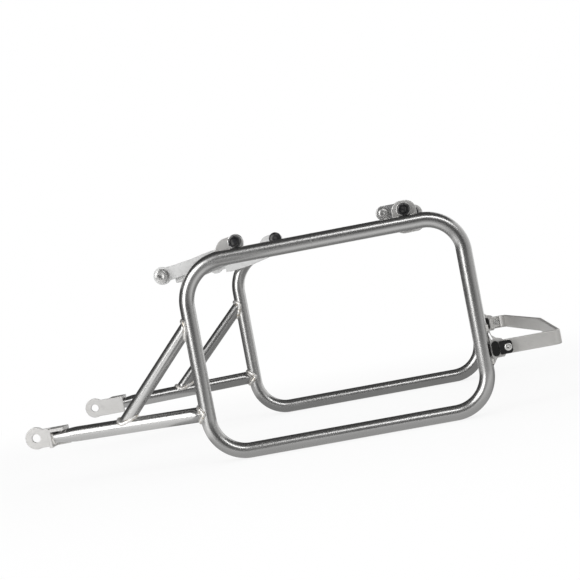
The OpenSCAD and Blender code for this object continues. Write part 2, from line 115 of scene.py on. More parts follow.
# The nodes of one material or world. The node method adds any node: a socket is named, or numbered as n0, n1
# and so on, and output None gives all the outputs
class Paint:

    def __init__(self, name, kind="materials"):
        self.owner = getattr(bpy.data, kind).new(name)
        self.owner.use_nodes = True
        self.tree = self.owner.node_tree
        self.tree.nodes.clear()

    def node(self, kind, settings=None, output=0, **sockets):
        made = self.tree.nodes.new(kind)
        for key, value in (settings or {}).items():
            if key == "stops":
                self.setStops(made.color_ramp, value)
            else:
                setattr(made, key, value)
        for key, value in sockets.items():
            numbered = key[0] == "n" and key[1:].isdigit()
            plug(self.tree, made.inputs[int(key[1:]) if numbered else key.replace("_", " ")], value)
        wires = [Wire(self.tree, socket) for socket in made.outputs]
        return wires if output is None or not wires else wires[output]

    def setStops(self, ramp, stops):
        while len(ramp.elements) < len(stops):
            ramp.elements.new(0.5)
        for element, (place, tone) in zip(ramp.elements, stops):
            element.position = place
            element.color = (*tone, 1.0)

    def place(self):
        return self.node("ShaderNodeTexCoord", output=3)

    def stretched(self, vector, scale):
        return self.node("ShaderNodeVectorMath", {"operation": "MULTIPLY"}, n0=vector, n1=scale)

    def noise(self, vector, scale, detail=2.0, rough=0.5):
        return self.node("ShaderNodeTexNoise", Vector=vector, Scale=scale, Detail=detail, Roughness=rough)

    def ramp(self, factor, *stops):
        return self.node("ShaderNodeValToRGB", {"stops": stops}, Fac=factor)

    def mix(self, factor, low, high):
        tones = [tone if isinstance(tone, Wire) else (*tone, 1.0) for tone in (low, high)]
        settings = {"data_type": "RGBA", "blend_type": "MIX"}
        return self.node("ShaderNodeMix", settings, output=2, n0=factor, n6=tones[0], n7=tones[1])

    def bump(self, height, depth):
        return self.node("ShaderNodeBump", Height=height, Distance=depth, Strength=1.0)

    # Number that wanders about its middle: each part is a noise and how far it moves the number in all
    def wander(self, middle, *parts):
        total = middle - sum(reach for _, reach in parts) / 2
        for noise, reach in parts:
            total = noise * reach + total
        return total

    def finish(self, **sockets):
        shader = self.node("ShaderNodeBsdfPrincipled", **sockets)
        self.node("ShaderNodeOutputMaterial", Surface=shader)
        return self.owner


# Tube: polished round its girth, with the map's first number along the tube and the second round it
tubeLook = {"tone": (0.605, 0.602, 0.595), "deep": (0.54, 0.537, 0.53), "rough": 0.27,
            "grainPerMetre": 1300.0, "grainRound": 2.2, "grainDepth": 0.000009, "grainRough": 0.05,
            "bandStretch": (0.045, 0.6, 0.6), "bandShare": 0.4, "bandRough": 0.07,
            "cloudScale": 14.0, "cloudShare": 0.6, "cloudRough": 0.05,
            "heatTone": (0.58, 0.51, 0.41), "heatShare": 0.35, "weldRough": 0.16}


def tubeSteel(name, look):
    paint = Paint(name)
    path = paint.node("ShaderNodeUVMap", {"uv_map": "path"})
    along, around, _ = paint.node("ShaderNodeSeparateXYZ", output=None, n0=path)
    ring = paint.node("ShaderNodeCombineXYZ", X=along * look["grainPerMetre"],
                      Y=around.math("COSINE") * look["grainRound"],
                      Z=around.math("SINE") * look["grainRound"])
    grain = paint.noise(ring, 1.0, 3.0, 0.6)
    bands = paint.noise(paint.stretched(ring, look["bandStretch"]), 1.0)
    cloud = paint.noise(paint.place(), look["cloudScale"], 3.0)
    heat = paint.node("ShaderNodeAttribute", {"attribute_name": "heat"}, output=2)
    tone = paint.mix(cloud * look["cloudShare"] + bands * look["bandShare"], look["deep"], look["tone"])
    tint = paint.mix(heat * (cloud * 0.5 + 0.5) * look["heatShare"], tone, look["heatTone"])
    rough = paint.wander(look["rough"], (bands, look["bandRough"]), (grain, look["grainRough"]),
                         (cloud, look["cloudRough"])) + heat * look["weldRough"]
    return paint.finish(Base_Color=tint, Metallic=1.0, Roughness=rough,
                        Normal=paint.bump(grain, look["grainDepth"]))


# Sheet, bar and bright fasteners: satin steel with a faint mottle, a few worn marks and fine lines. The lines
# are an even grain where their three scales are alike
sheetLook = {
    "bracket": {"tone": (0.72, 0.712, 0.698), "deep": (0.54, 0.533, 0.52), "rough": 0.42, "metal": 0.78,
                "lines": (60, 60, 900), "depth": 0.00002},
    # The link's tone and deep are a darker grey than the bracket's: painted shade for the shadow the link
    # sits in behind the lug
    "link": {"tone": (0.42, 0.42, 0.42), "deep": (0.33, 0.33, 0.335), "rough": 0.44, "metal": 0.9,
             "lines": (70, 70, 700), "depth": 0.00002},
    "strap": {"tone": (0.70, 0.69, 0.67), "deep": (0.56, 0.55, 0.53), "rough": 0.42, "metal": 0.75,
              "lines": (25, 25, 1100), "depth": 0.00002},
    "bright_fastener": {"tone": (0.90, 0.895, 0.88), "deep": (0.78, 0.775, 0.76), "rough": 0.27,
                        "metal": 0.95, "lines": (500, 500, 500), "depth": 0.00001},
    "washer": {"tone": (0.86, 0.855, 0.845), "deep": (0.74, 0.735, 0.725), "rough": 0.26, "metal": 0.97,
               "lines": (300, 300, 300), "depth": 0.00001},
}
# What all the sheet finishes share
wearLook = {"mottle": 45.0, "fine": 1500.0, "marks": (90, 160, 140), "marksFrom": 0.56, "marksTo": 0.72,
            "markTone": (0.30, 0.29, 0.28), "markShare": 0.12, "markRough": 0.06,
            "mottleRough": 0.10, "lineRough": 0.08, "mottleShare": 0.7, "lineShare": 0.3,
            "lineBump": 0.6, "fineBump": 0.4}


def sheetSteel(name, look, wear):
    paint = Paint(name)
    place = paint.place()
    lines = paint.noise(paint.stretched(place, look["lines"]), 1.0, 3.0, 0.6)
    mottle = paint.noise(place, wear["mottle"], 4.0, 0.6)
    fine = paint.noise(place, wear["fine"])
    spots = paint.noise(paint.stretched(place, wear["marks"]), 1.0, 3.0, 0.6)
    marks = paint.node("ShaderNodeMapRange", n0=spots, n1=wear["marksFrom"], n2=wear["marksTo"])
    tone = paint.mix(mottle * wear["mottleShare"] + lines * wear["lineShare"], look["deep"], look["tone"])
    worn = paint.mix(marks * wear["markShare"], tone, wear["markTone"])
    rough = paint.wander(look["rough"], (mottle, wear["mottleRough"]), (lines, wear["lineRough"]))
    normal = paint.bump(lines * wear["lineBump"] + fine * wear["fineBump"], look["depth"])
    return paint.finish(Base_Color=worn, Metallic=look["metal"], Roughness=rough + marks * wear["markRough"],
                        Normal=normal)


# Plate blasted with beads: a pale even sheet of tiny dents
blastLook = {"tone": (0.76, 0.76, 0.755), "deep": (0.56, 0.56, 0.555), "rough": 0.58, "metal": 0.5,
             "dents": 1100.0, "specks": 700.0, "clouds": 60.0, "depth": 0.00008, "speckRough": 0.1,
             "cloudShare": 0.55, "speckShare": 0.45, "dentBump": 0.7, "speckBump": 0.3}


def blastedSteel(name, look):
    paint = Paint(name)
    place = paint.place()
    dents = paint.node("ShaderNodeTexVoronoi", {"feature": "F1"}, Vector=place, Scale=look["dents"])
    cloud = paint.noise(place, look["clouds"], 4.0, 0.65)
    speck = paint.noise(place, look["specks"], 3.0, 0.7)
    tone = paint.mix(cloud * look["cloudShare"] + speck * look["speckShare"], look["deep"], look["tone"])
    rough = paint.wander(look["rough"], (speck, look["speckRough"]))
    normal = paint.bump(dents * look["dentBump"] + speck * look["speckBump"], look["depth"])
    return paint.finish(Base_Color=tone, Metallic=look["metal"], Roughness=rough, Normal=normal)


# Weld: bright satin metal with straw and grey tints from bead to bead
weldLook = {"bright": (0.84, 0.825, 0.80), "straw": (0.62, 0.52, 0.38), "grey": (0.50, 0.50, 0.51),
            "rough": 0.345, "metal": 0.85, "blotches": 260.0, "fine": 1600.0, "depth": 0.00004,
            "blotchRough": 0.15, "fineRough": 0.08, "strawAt": 0.30, "brightAt": (0.45, 0.62), "greyAt": 0.75}


def weldSteel(name, look):
    paint = Paint(name)
    place = paint.place()
    blotch = paint.noise(place, look["blotches"], 3.0)
    fine = paint.noise(place, look["fine"], 3.0)
    first, last = look["brightAt"]
    tone = paint.ramp(blotch, (look["strawAt"], look["straw"]), (first, look["bright"]),
                      (last, look["bright"]), (look["greyAt"], look["grey"]))
    rough = paint.wander(look["rough"], (blotch, look["blotchRough"]), (fine, look["fineRough"]))
    return paint.finish(Base_Color=tone, Metallic=look["metal"], Roughness=rough,
                        Normal=paint.bump(fine, look["depth"]))


# Black parts: moulded rubber and plastic with pores, and steel blackened in oil and worn to grey in places
darkLook = {
    "rubber": {"tone": (0.007, 0.007, 0.007), "worn": (0.014, 0.014, 0.014), "shine": 0.2, "rough": 0.62,
               "metal": 0.0, "grain": 900.0, "depth": 0.00008},
    "pad": {"tone": (0.008, 0.008, 0.0085), "worn": (0.015, 0.015, 0.016), "shine": 0.25, "rough": 0.50,
            "metal": 0.0, "grain": 1200.0, "depth": 0.00005},
    "dark_fastener": {"tone": (0.045, 0.045, 0.048), "worn": (0.22, 0.215, 0.21), "shine": 0.5, "rough": 0.36,
                      "metal": 0.85, "grain": 1500.0, "depth": 0.00002},
}
rubbedLook = {"clouds": 150.0, "from": 0.50, "to": 0.75, "poreRough": 0.16, "cloudRough": 0.1}


def blackFinish(name, look, rubbed):
    paint = Paint(name)
    place = paint.place()
    pores = paint.noise(place, look["grain"], 4.0, 0.6)
    cloud = paint.noise(place, rubbed["clouds"], 4.0, 0.7)
    bare = paint.node("ShaderNodeMapRange", n0=cloud, n1=rubbed["from"], n2=rubbed["to"])
    rough = paint.wander(look["rough"], (pores, rubbed["poreRough"]), (cloud, rubbed["cloudRough"]))
    return paint.finish(Base_Color=paint.mix(bare, look["tone"], look["worn"]), Metallic=look["metal"],
                        Roughness=rough, Specular_IOR_Level=look["shine"],
                        Normal=paint.bump(pores, look["depth"]))


finishes = {"tube": tubeSteel("tubeSteel", tubeLook),
            "blasted_plate": blastedSteel("blastedSteel", blastLook),
            "weld": weldSteel("weldSteel", weldLook)}
for slot, look in sheetLook.items():
    finishes[slot] = sheetSteel(slot.replace("_", "") + "Steel", look, wearLook)
for slot, look in darkLook.items():
    finishes[slot] = blackFinish(slot.replace("_", "") + "Black", look, rubbedLook)
slots = {part["node"]: part["material_slot"] for part in frame["record"]["subparts"]}
for name, obj in frame["nodes"].items():
    for slot in obj.material_slots:
        slot.material = finishes[slots[name]]
    if not obj.material_slots:
        obj.data.materials.append(finishes[slots[name]])
print("materials made")

# Sizes that pieces share, in millimetres: x runs from the front leg's axis, y inboard, z up from the floor
rack = {"halfWidth": 260.0, "frontLeg": -91.0, "tube": 9.0, "low": 9.0, "high": 235.0, "length": 328.0,
        "bend": 43.0, "frontTopBend": 50.0, "stayLevel": 60.0, "stayReach": 199.0, "stayInset": 60.0}
sides = {"left": -1.0, "right": 1.0}
stayTurn = math.atan2(rack["stayInset"], rack["stayReach"])


# Points of one side in millimetres become points of the frame in metres
def settled(points, side):
    x, y, z = np.moveaxis(np.asarray(points, dtype=float), -1, 0)
    return np.stack([x + rack["frontLeg"], side * (rack["halfWidth"] - y), z], -1) / 1000


# Point of the stays' own plane, turned about the front leg: x is along the stay, y across it
def turned(x, y, z):
    cosine, sine = math.cos(stayTurn), math.sin(stayTurn)
    return np.stack([x * cosine + y * sine, y * cosine - x * sine, z], -1)


# Even angles round a circle, without the last, which is the first again
def circle(columns):
    return np.linspace(0, 2 * math.pi, columns, endpoint=False)


# Lines where pieces are welded, as end, end and reach. The heat tints the steel beside them, over the spread
heatLook = {"spread": 5.5, "lines": [
    ((-6, 0, 60), (-6, 0, 60), 10), ((-6, 2, 167), (-6, 2, 167), 9), ((-106, 32, 67), (-106, 32, 67), 9),
    ((48, 8, 235), (72, 8, 235), 5), ((259, 8, 235), (277, 8, 235), 5), ((337, 0, 57), (337, 0, 64), 3),
    ((337, 0, 94), (337, 0, 104), 3), ((-197, 59, 60), (-197, 59, 60), 10)]}


# Heat falls off with the distance past each line's reach, as a bell curve
def heatAt(points, look):
    heat = np.zeros(points.shape[:-1])
    for start, end, reach in look["lines"]:
        start, step = np.array(start, float), np.array(end, float) - np.array(start, float)
        share = np.clip(((points - start) @ step) / max(step @ step, 1e-9), 0, 1)
        gap = np.linalg.norm(points - start - share[..., None] * step, axis=-1) - reach
        heat = np.maximum(heat, np.exp(-(np.maximum(gap, 0) / look["spread"]) ** 2))
    return heat


# Joins grids into one piece. A grid is rows by columns of points, closed round its columns. Its rows close on
# themselves where loop is set, and otherwise end in a pole at each end, the middle of the end row
def addPiece(name, grids, side, nodes, slot, sharp=None):
    points, faces, maps, heats, count = [], [], [], [], 0
    for grid in grids:
        spots, loop = grid["points"], grid.get("loop", False)
        rows, columns = spots.shape[:2]
        along = grid.get("along", np.arange(rows + 1) / 1000)
        around = grid.get("around", np.linspace(0, 2 * math.pi, columns + 1))
        i, j = np.meshgrid(np.arange(rows if loop else rows - 1), np.arange(columns), indexing="ij")
        corners = [(i, j), (i, j + 1), (i + 1, j + 1), (i + 1, j)]
        quads = np.stack([count + (a % rows) * columns + b % columns for a, b in corners], -1).reshape(-1, 4)
        faces += quads.tolist()
        maps.append(np.stack([np.stack([along[a], around[b]], -1) for a, b in corners], -2).reshape(-1, 2))
        flat = spots.reshape(-1, 3)
        if not loop:
            k = np.arange(columns)
            for place, (row, order) in enumerate(((0, 1), (rows - 1, -1))):
                pole = np.full(columns, count + len(flat) + place)
                first = count + row * columns
                ring = [first + (k + 1) % columns, first + k][::order]
                faces += np.stack([pole] + ring, -1).tolist()
                ends = [np.stack([np.full(columns, along[row]), around[k + step]], -1)
                        for step in (1, 0)[::order]]
                maps.append(np.stack([ends[0]] + ends, -2).reshape(-1, 2))
            flat = np.concatenate([flat, (spots[0].mean(0), spots[-1].mean(0))])
        heats.append(heatAt(flat, heatLook))
        points.append(flat)
        count += len(flat)
    mesh = bpy.data.meshes.new(name)
    mesh.from_pydata(settled(np.concatenate(points), side).tolist(), [], faces)
    mesh.uv_layers.new(name="path").data.foreach_set("uv", np.concatenate(maps).ravel())
    mesh.attributes.new("heat", "FLOAT", "POINT").data.foreach_set("value", np.concatenate(heats))
    solid = bmesh.new()
    solid.from_mesh(mesh)
    bmesh.ops.recalc_face_normals(solid, faces=solid.faces)
    solid.to_mesh(mesh)
    solid.free()
    mesh.shade_smooth()
    if sharp:
        mesh.set_sharp_from_angle(angle=math.radians(sharp))
    return addObject(name, mesh, nodes, slot)


def addObject(name, mesh, nodes, slot):
    mesh.materials.clear()
    mesh.materials.append(finishes[slot])
    piece = bpy.data.objects.new(name, mesh)
    bpy.context.collection.objects.link(piece)
    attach(piece, "root")
    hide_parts(*nodes)
    return piece


# Hoop: a circle carried round straights and quarter bends. Its columns crowd towards the outside by the crowd
# value. A seam is a distance behind the front leg and how proud it stands
hoopLook = {"columns": 96, "crowd": 0.7, "straightStep": 12.0, "bendRows": 37, "leastStep": 0.12,
            "seams": ((158.0, 0.16), (196.0, 0.07)), "seamWidth": 0.9, "seamWaves": 22, "seamRipple": 0.25,
            "drains": (75.0, 253.0), "drainRadius": 2.0, "drainDepth": 3.0, "drainEdge": 0.12,
            "closeReach": 3.2, "closeStep": 0.32}


# The hoop's middle line at a distance along it, and its outward direction, both in the hoop plane. Straights
# run on by the distance, and a bend turns by the distance over its radius
def hoopPath(s):
    long, low, high = rack["length"], rack["low"], rack["high"]
    r, front = rack["bend"], rack["frontTopBend"]
    legs = [((r, low), 0, long - 2 * r, None), ((long - r, low + r), -90, r, 1),
            ((long, low + r), 90, high - low - 2 * r, None), ((long - r, high - r), 0, r, 1),
            ((long - r, high), 180, long - r - front, None), ((front, high - front), 90, front, 1),
            ((0, high - front), 270, high - low - front - r, None), ((r, low + r), 180, r, 1)]
    centre, out, start = np.zeros((len(s), 2)), np.zeros((len(s), 2)), 0.0
    for (x, z), turn, size, curved in legs:
        span = size * math.pi / 2 if curved else size
        here = (s >= start - 1e-9) & (s < start + span + 1e-9)
        way = s[here] - start
        if curved:
            angle = math.radians(turn) + way / size
            out[here] = np.stack([np.cos(angle), np.sin(angle)], -1)
            centre[here] = np.array([x, z]) + size * out[here]
        else:
            angle = math.radians(turn)
            centre[here] = np.array([x, z]) + way[:, None] * np.array([math.cos(angle), math.sin(angle)])
            out[here] = (math.sin(angle), -math.cos(angle))
        start += span
    return centre, out, start


# Places of the rows along the hoop: wide on the straights, close in the bends and at each seam and drain
def hoopRows(look, total, seams, drains):
    long, r, front, low, high = rack["length"], rack["bend"], rack["frontTopBend"], rack["low"], rack["high"]
    quarter = r * math.pi / 2
    stops = np.cumsum([0, long - 2 * r, quarter, high - low - 2 * r, quarter, long - r - front,
                       front * math.pi / 2, high - low - front - r, quarter])
    rows = [np.arange(0, total, look["straightStep"])]
    rows += [np.linspace(stops[k], stops[k + 1], look["bendRows"]) for k in (1, 3, 5, 7)]
    close = np.arange(-look["closeReach"], look["closeReach"] + 0.01, look["closeStep"])
    rows += [at + close for at in [at for at, _ in seams] + drains]
    s = np.unique(np.round(np.concatenate(rows), 3))
    s = s[(s >= 0) & (s < total - 0.5)]
    return s[np.concatenate([[True], np.diff(s) > look["leastStep"]])]


# The tube's radius grows at a seam as a rippled bell curve, and drops at a drain as a cup with a soft edge
def addHoop(sideName, look):
    r, tube = rack["bend"], rack["tube"]
    total = hoopPath(np.zeros(1))[2]
    rise = rack["high"] - rack["low"] - 2 * r
    topStart = rack["length"] - 2 * r + r * math.pi + rise
    seams = [(topStart + rack["length"] - r - x, proud) for x, proud in look["seams"]]
    drains = [x - r for x in look["drains"]]
    s = hoopRows(look, total, seams, drains)
    centre, out, _ = hoopPath(s)
    even = np.linspace(0, 2 * math.pi, look["columns"] + 1)
    around = even - look["crowd"] * np.sin(even)
    angle = around[:-1]
    grow = np.zeros((len(s), len(angle)))
    for at, proud in seams:
        ripple = 1 - look["seamRipple"] + look["seamRipple"] * np.cos(look["seamWaves"] * angle)[None, :]
        grow += proud * ripple * np.exp(-((s[:, None] - at) / look["seamWidth"]) ** 2)
    for at in drains:
        gap = np.hypot(s[:, None] - at, tube * np.minimum(angle, 2 * math.pi - angle)[None, :])
        grow -= look["drainDepth"] / (1 + np.exp((gap - look["drainRadius"]) / look["drainEdge"]))
    radius = (tube + grow)[..., None]
    flat = np.stack([out[:, 0], np.zeros(len(s)), out[:, 1]], -1)[:, None, :]
    middle = np.stack([centre[:, 0], np.zeros(len(s)), centre[:, 1]], -1)[:, None, :]
    inboard = np.array([0, 1, 0])
    points = middle + radius * (np.cos(angle)[None, :, None] * flat + np.sin(angle)[None, :, None] * inboard)
    grid = {"points": points, "loop": True, "along": np.append(s, total) / 1000, "around": around}
    addPiece(sideName + "HoopTube", [grid], sides[sideName], [sideName + "_loop_tube"], "tube")


# Lower stay: a circle carried along it, squeezed to a flat round-sided end, cut to the leg and to the flange
stayLook = {"columns": 72, "rows": (14, 40), "squeezeHeight": 6.5, "squeezeLength": 7.0, "squeezeTaper": 26.0,
            "creaseDepth": 0.9, "creaseAt": 6.0, "creaseWidth": 1.6, "creaseEnds": 0.6, "flatness": 3,
            "tuck": 0.15, "nearPower": 6, "farPower": 2}


# The circle's radius shrinks by the share, and the girth that it loses goes into flats above and below
def squeezedRing(share, look, angle):
    half = rack["tube"] + (look["squeezeHeight"] - rack["tube"]) * share
    spread = (math.pi * (rack["tube"] - look["squeezeHeight"]) / 2) * share
    level = spread * np.tanh(look["flatness"] * np.cos(angle)) / math.tanh(look["flatness"])
    return half * np.cos(angle) + level, half * np.sin(angle)


# Two creases on each face deepen along the taper, each a bell curve across the stay. The cuts to the leg and
# to the flange shift the rows, by a power of the share of the way to each end
def addLowerStay(sideName, look):
    tube = rack["tube"]
    angle = circle(look["columns"])[None, :]
    reach = rack["stayReach"] / math.cos(stayTurn)
    ends = reach - look["squeezeLength"] - look["squeezeTaper"]
    plain, squeezed = look["rows"]
    middle = np.concatenate([np.linspace(tube, ends, plain), np.linspace(ends, reach, squeezed)[1:]])[:, None]
    taper = np.clip((middle - ends) / look["squeezeTaper"], 0, 1)
    share = taper * taper * (3 - 2 * taper)
    across, rise = squeezedRing(share, look, angle)
    fan = np.exp(-((np.abs(across) - look["creaseAt"]) / look["creaseWidth"]) ** 2) * taper
    deep = np.clip(1 + look["creaseEnds"] - np.abs(share * 2 - 1), 0, 1)
    rise = rise - np.sign(rise) * look["creaseDepth"] * fan * deep
    near = np.sqrt(np.maximum(tube ** 2 - across[:1] ** 2, 0)) - look["tuck"]
    far = (rack["stayReach"] + across[-1:] * math.sin(stayTurn)) / math.cos(stayTurn)
    part = (middle - tube) / (reach - tube)
    tail = np.clip((middle - ends) / (reach - ends), 0, 1)
    along = (middle + (near - tube) * (1 - part) ** look["nearPower"]
             + (far - reach) * tail ** look["farPower"])
    points = turned(-along, across, rack["stayLevel"] + rise)
    grid = {"points": points, "along": middle[:, 0] / 1000}
    addPiece(sideName + "LowerStay", [grid], sides[sideName], [sideName + "_lower_stay"], "tube")


# Diagonal stay: a circle carried straight from the lower stay to the leg, each line cut where it meets them
diagonalLook = {"columns": 64, "rows": 24, "radius": 8.0, "foot": 108.0, "head": 160.0, "tuck": 0.15}


# The diagonal's foot on the lower stay's axis, and its direction from there to the leg's axis
def diagonalAxis(look):
    foot = np.array([-look["foot"] / math.cos(stayTurn), 0.0, rack["stayLevel"]])
    way = np.array([0.0, 0.0, rack["low"] + look["head"]]) - foot
    return foot, way / np.linalg.norm(way)


# Each line's two cuts: the distance along it to the skin of the lower stay and to the skin of the leg
def diagonalEnds(look, angle, tuck):
    foot, way = diagonalAxis(look)
    side = np.array([way[2], 0.0, -way[0]])
    ring = np.cos(angle)[:, None] * side + np.sin(angle)[:, None] * np.array([0, 1, 0])
    start = foot + look["radius"] * ring
    bulge = np.sqrt(np.maximum((rack["tube"] - tuck) ** 2 - start[:, 1] ** 2, 0))
    low = (rack["stayLevel"] + bulge - start[:, 2]) / way[2]
    high = (-bulge - start[:, 0]) / way[0]
    return start, way, low, high


# Rows are spread evenly along each line, from its one cut to its other
def addDiagonal(sideName, look):
    start, way, low, high = diagonalEnds(look, circle(look["columns"]), look["tuck"])
    reach = low + (high - low) * np.linspace(0, 1, look["rows"])[:, None]
    spots = start + reach[..., None] * way
    grid = {"points": turned(spots[..., 0], spots[..., 1], spots[..., 2]),
            "along": reach.mean(1) / 1000}
    addPiece(sideName + "DiagonalStay", [grid], sides[sideName], [sideName + "_diagonal_stay"], "tube")


# Weld beads: a small circle carried along a joint, flattened, its radius rising and falling from drop to drop
beadLook = {"radius": 2.8, "flatness": 0.86, "dropLength": 1.5, "dropPeak": 0.375, "dropCurve": 0.32,
            "ripple": 0.05, "wave": 0.03, "waveRate": 1.3, "columns": 20, "step": 0.25, "out": 0.35,
            "endPower": 10, "leastSize": 0.02, "ringPoints": 120, "legShare": 0.995,
            "footRadius": 1.7, "footOff": 0.5, "lugRadius": 1.5, "lugRuns": ((48, 72), (259, 277)),
            "lugPoints": 40, "lugIn": 7.3, "lugRise": 5.0, "gussetRadius": 1.7,
            "gussetRuns": ((57, 64), (95, 103)), "gussetPoints": 30, "gussetOut": 8.8, "gussetFace": 2.2,
            "lean": {"leg": 0.6, "stay": 0.7, "foot": 0.6, "lug": 0.5, "gusset": 0.8}}


# Curve is rows of points, out the direction away from the corner it fills. Loop joins the last row to the
# first, and without it the radius falls off at both ends
def beadGrid(curve, out, loop, look, radius):
    steps = np.linalg.norm(np.diff(curve, axis=0), axis=1)
    if loop:
        steps = np.append(steps, np.linalg.norm(curve[0] - curve[-1]))
        curve, out = np.concatenate([curve, curve[:1]]), np.concatenate([out, out[:1]])
    length = steps.sum()
    s = np.concatenate([[0], np.cumsum(steps)])
    rows = int(length / look["step"])
    at = np.linspace(0, length, rows, endpoint=not loop)
    line = np.stack([np.interp(at, s, curve[:, k]) for k in range(3)], -1)
    normal = np.stack([np.interp(at, s, out[:, k]) for k in range(3)], -1)
    ahead = np.roll(line, -1, 0) - np.roll(line, 1, 0) if loop else np.gradient(line, axis=0)
    ahead /= np.linalg.norm(ahead, axis=1)[:, None]
    normal -= (normal * ahead).sum(1)[:, None] * ahead
    normal /= np.linalg.norm(normal, axis=1)[:, None]
    across = np.cross(ahead, normal)
    phi = circle(look["columns"])
    drops = round(length / look["dropLength"])
    phase = at[:, None] / length * drops + look["dropCurve"] * np.sin(phi)[None, :] ** 2
    part = phase - np.floor(phase)
    size = np.full((rows, 1), radius)
    if not loop:
        ends = 1 - np.abs(2 * at / length - 1) ** look["endPower"]
        size = size * np.clip(ends, look["leastSize"], 1)[:, None] ** 0.5
    wave = look["wave"] * np.sin(at * look["waveRate"])[:, None]
    swell = size * (1 - look["ripple"] * (2 * (part - look["dropPeak"])) ** 2 + wave)
    ring = (look["flatness"] * np.cos(phi)[None, :, None] * normal[:, None, :]
            + np.sin(phi)[None, :, None] * across[:, None, :])
    points = line[:, None, :] + look["out"] * normal[:, None, :] + swell[..., None] * ring
    return {"points": points, "loop": loop}


# Bead round the lower stay where it meets the leg: the line where two equal tubes cross
def legBead(look, angle):
    tube = rack["tube"]
    across, rise = tube * np.cos(angle) * look["legShare"], tube * np.sin(angle)
    curve = turned(-np.sqrt(tube ** 2 - across ** 2), across, rack["stayLevel"] + rise)
    out = turned(-look["lean"]["leg"] - 0 * angle, np.cos(angle), np.sin(angle))
    return beadGrid(curve, out, True, look, look["radius"])


# Beads round both ends of the diagonal stay
def diagonalBeads(look, angle):
    start, way, low, high = diagonalEnds(diagonalLook, angle, 0.0)
    away = start - diagonalAxis(diagonalLook)[0]
    away /= np.linalg.norm(away, axis=1)[:, None]
    grids, tilt = [], look["lean"]["stay"]
    for reach, lean in ((low, np.array([0, 0, tilt])), (high, np.array([-tilt, 0, 0]))):
        spots, outward = start + reach[:, None] * way, away + lean
        grids.append(beadGrid(turned(*spots.T), turned(*outward.T), True, look, look["radius"]))
    return grids


# Bead round the squeezed end on the foot flange
def footBead(look, angle):
    count = len(angle)
    across, rise = squeezedRing(1.0, stayLook, angle)
    across = rack["stayInset"] + across / math.cos(stayTurn)
    x = np.full(count, look["footOff"] - rack["stayReach"])
    curve = np.stack([x, across, rack["stayLevel"] + rise], -1)
    out = np.stack([np.full(count, look["lean"]["foot"]), np.cos(angle), np.sin(angle)], -1)
    return beadGrid(curve, out, True, look, look["footRadius"])


# Bead between two places, with one direction away from its corner
def straightBead(begin, end, out, look, kind):
    count = look[kind + "Points"]
    line = np.stack([np.linspace(a, b, count) for a, b in zip(begin, end)], -1)
    return beadGrid(line, np.tile(out, (count, 1)), False, look, look[kind + "Radius"])


# Straight beads above and below each lug's seat, and on both faces of the gusset beside the leg
def straightBeads(look):
    grids, lean = [], look["lean"]
    for begin, end in look["lugRuns"]:
        for lift in (-1, 1):
            y, z, out = look["lugIn"], rack["high"] + lift * look["lugRise"], [0.0, -lean["lug"], lift]
            grids.append(straightBead((begin, y, z), (end, y, z), out, look, "lug"))
    for begin, end in look["gussetRuns"]:
        for face in (-1, 1):
            x, y = rack["length"] + look["gussetOut"], face * look["gussetFace"]
            out = [lean["gusset"], face, 0.0]
            grids.append(straightBead((x, y, begin), (x, y, end), out, look, "gusset"))
    return grids


def addBeads(sideName, look):
    angle = circle(look["ringPoints"])
    grids = [legBead(look, angle), *diagonalBeads(look, angle), footBead(look, angle), *straightBeads(look)]
    addPiece(sideName + "WeldBeads", grids, sides[sideName], [sideName + "_weld_beads"], "weld")


for sideName in sides:
    addHoop(sideName, hoopLook)
    addLowerStay(sideName, stayLook)
    addDiagonal(sideName, diagonalLook)
    addBeads(sideName, beadLook)
print("tubes and welds made")

# Fasteners: a profile turned about the bolt's axis. A row is the distance inboard, the radius, and the half
# width of a hexagon that limits the circle there, or 0
boltLook = {"columns": 96, "sharp": 32, "level": rack["high"] + 16, "frontLevel": rack["high"] - 7.5,
            "threadStep": 16, "threadSlope": 1.25, "threadCrest": 0.1, "threadDepth": 0.61, "threadEnd": 0.45}
# What all the socket heads and their shanks share
headLook = {"tip": (0.5, 0.3), "floorShare": 0.97, "mouthShare": 1.18, "mouthDepth": 0.35, "mouthRing": 0.06,
            "clear": 3, "edge": 0.25, "domeEdge": 0.5, "domeRows": 12, "domePower": 0.9, "rimEdge": 0.3,
            "rimRows": 7, "neck": (0.4, 1.7), "neckDepth": 0.6}
screwLook = {
    "Front": {"slot": "front_screw", "x": -24, "z": boltLook["frontLevel"], "seat": 11.0, "height": 8.0,
              "radius": 6.5, "socket": 3.2, "deep": 4.0, "rim": 0.8, "dome": None, "body": 4.0,
              "clamped": 5.5, "undercut": True, "thread": (18.0, 34.0), "pitch": 1.25},
    "Rear": {"slot": "rear_screw", "x": 244, "z": boltLook["level"], "seat": 11.0, "height": 3.3,
             "radius": 5.5, "socket": 1.95, "deep": 2.1, "rim": 0, "dome": 3.4, "body": 3.0,
             "clamped": 5.5, "undercut": True, "thread": (18.0, 34.0), "pitch": 1.0},
    "Strap": {"slot": "strap_screw", "x": 357, "z": 74, "seat": -8, "height": 2.7,
              "radius": 4.6, "socket": 1.62, "deep": 1.7, "rim": 0, "dome": 2.9, "body": 2.5,
              "clamped": 10, "undercut": False, "thread": (1.8, 6), "pitch": 0.8},
}
lugBoltLook = {"x": (68, 268), "headTop": 23.1, "headFlat": 3.0, "headCircle": 5.9, "across": 6.5,
               "chamferRows": 5, "chamferSlope": 1.75, "thread": (-3.1, 7.2), "threadRadius": 3.98,
               "body": 4.0, "pitch": 1.25, "nutTop": -1.1, "nutBase": 6.9, "nutCircles": (6.0, 6.2),
               "nutHole": 4.05, "nutRims": (4.6, 4.4), "nutRimDepth": 0.5, "flange": (
                   (18.5, 9, 6.5), (18.4, 7.0, 0), (17.9, 8.3, 0), (17.4, 8.8, 0), (16.9, 8.8, 0),
                   (16.5, 8.4, 0), (16.5, 4.0, 0), (8.5, 4.0, 0))}


